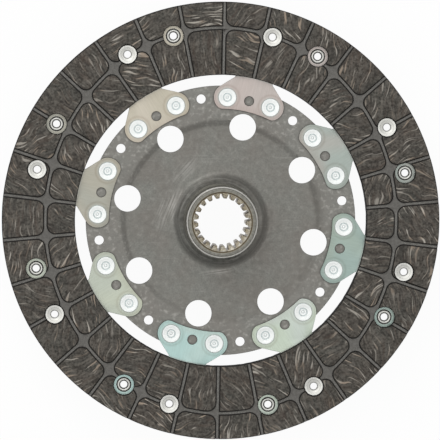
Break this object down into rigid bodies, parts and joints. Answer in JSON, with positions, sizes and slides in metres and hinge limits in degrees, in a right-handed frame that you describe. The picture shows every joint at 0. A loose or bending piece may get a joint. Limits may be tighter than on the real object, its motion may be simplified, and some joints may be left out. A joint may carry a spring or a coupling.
{
  "type": "clutch disc",
  "caption": "Rigid clutch disc: grooved, riveted friction facings on waved spring segments, round a pierced carrier plate and a splined hub.",
  "frame": {"origin": "on the disc's axis, in the plane of the flywheel-side friction face", "axes": "+Z along the disc's axis, towards the hub's nose and the gearbox"},
  "size_m": [0.24, 0.24, 0.0256],
  "materials": {
    "friction_material": "matte",
    "phosphated_steel": "satin",
    "hub_steel": "satin",
    "spring_steel": "satin",
    "rivet_steel": "satin"
  },
  "bodies": {
    "root": {"front_facing": "friction_material", "rear_facing": "friction_material", "carrier_plate": "phosphated_steel", "hub": "hub_steel", "segment_1": "spring_steel", "segment_2": "spring_steel", "segment_3": "spring_steel", "segment_4": "spring_steel", "segment_5": "spring_steel", "segment_6": "spring_steel", "segment_7": "spring_steel", "segment_8": "spring_steel", "segment_rivets_1": "rivet_steel", "segment_rivets_2": "rivet_steel", "segment_rivets_3": "rivet_steel", "segment_rivets_4": "rivet_steel", "segment_rivets_5": "rivet_steel", "segment_rivets_6": "rivet_steel", "segment_rivets_7": "rivet_steel", "segment_rivets_8": "rivet_steel", "front_facing_rivets": "rivet_steel", "rear_facing_rivets": "rivet_steel"}
  },
  "joints": []
}
